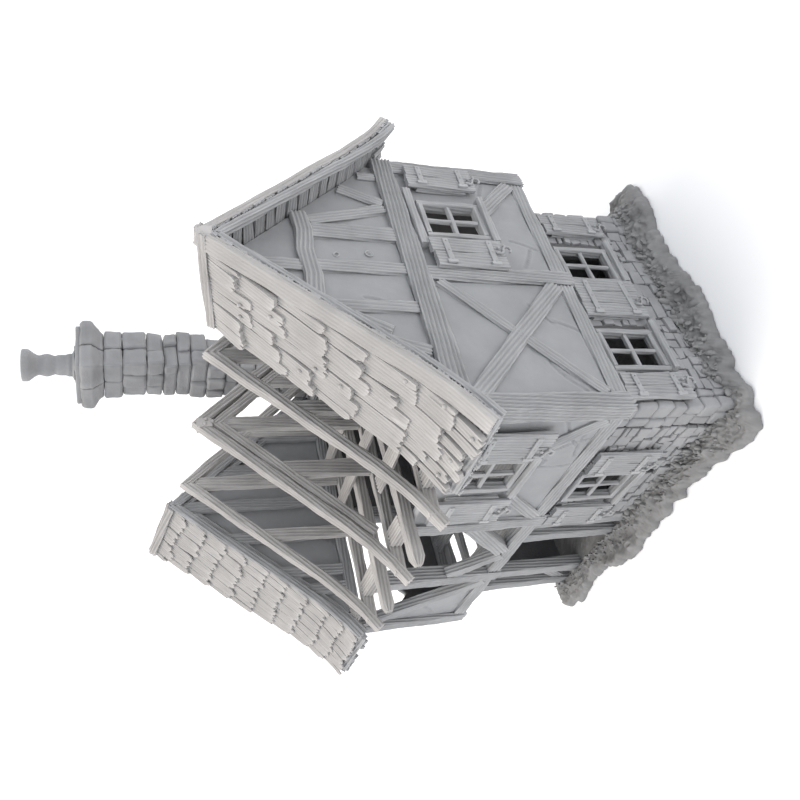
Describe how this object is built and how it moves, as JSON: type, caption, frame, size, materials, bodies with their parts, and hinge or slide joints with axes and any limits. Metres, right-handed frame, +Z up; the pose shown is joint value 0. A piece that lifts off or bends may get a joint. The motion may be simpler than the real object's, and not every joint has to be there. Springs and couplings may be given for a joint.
{
  "type": "miniature terrain ruin",
  "caption": "Ruined timber-framed house for tabletop games: stone ground storey on an earth base, jettied upper storey and broken roof that lift off, and a tall chimney",
  "frame": {"origin": "middle of the house's plan, on the flat underside of the earth base", "axes": "+Z up, +X along the ridge towards the gable with three windows, -Y towards the open front"},
  "size_m": [0.179, 0.145, 0.229],
  "materials": {
    "earth": "printed, matte, rough ground texture",
    "stone": "printed, matte, carved stone blocks",
    "timber": "printed, matte, carved wood grain",
    "plaster": "printed, matte, smooth with fine layer lines",
    "roofing": "printed, matte, carved shakes"
  },
  "bodies": {
    "ground_floor": {"earth_base": "earth", "rubble_bank": "earth", "front_stone_wall": "stone", "gable_stone_wall": "stone", "back_stone_wall": "stone", "left_stone_wall": "stone", "quoin_piers": "stone", "ground_corner_post": "timber", "door_posts": "timber", "knee_brace": "timber", "ground_front_window": "timber", "ground_gable_windows": "timber", "ground_back_window": "timber", "ground_shutters": "timber", "chimney_base": "stone"},
    "upper_floor": {"floor_joists": "timber", "floor_boards": "timber", "floor_lugs": "timber", "long_sills": "timber", "gable_sills": "timber", "corner_posts": "timber", "front_posts": "timber", "gable_posts": "timber", "back_posts": "timber", "front_panel": "plaster", "bay_panel": "plaster", "gable_panels": "plaster", "back_panels": "plaster", "left_panels": "plaster", "gable_braces": "timber", "front_low_braces": "timber", "bay_braces": "timber", "upper_front_window": "timber", "upper_gable_window": "timber", "upper_back_window": "timber", "upper_shutters": "timber", "chimney_middle": "stone"},
    "roof": {"front_plate": "timber", "back_plate": "timber", "gable_tie_beams": "timber", "roof_lugs": "timber", "attic_joists": "timber", "attic_boards": "timber", "truss_right": "timber", "truss_middle": "timber", "truss_left": "timber", "gable_studs": "timber", "gable_infill": "plaster", "left_gable_studs": "timber", "left_gable_infill": "plaster", "right_rafters": "timber", "left_rafters": "timber", "right_roof_boards": "timber", "left_roof_boards": "timber", "right_shingles": "roofing", "left_shingles": "roofing", "ridge_caps": "roofing", "chimney_stack": "stone", "chimney_cap": "stone", "chimney_pot": "stone"}
  },
  "joints": [
    {"name": "upper_floor_lift", "type": "slide", "parent": "ground_floor", "child": "upper_floor", "axis": [0, 0, 1], "range_m": [0, 0.06]},
    {"name": "roof_lift", "type": "slide", "parent": "upper_floor", "child": "roof", "axis": [0, 0, 1], "range_m": [0, 0.06]}
  ]
}
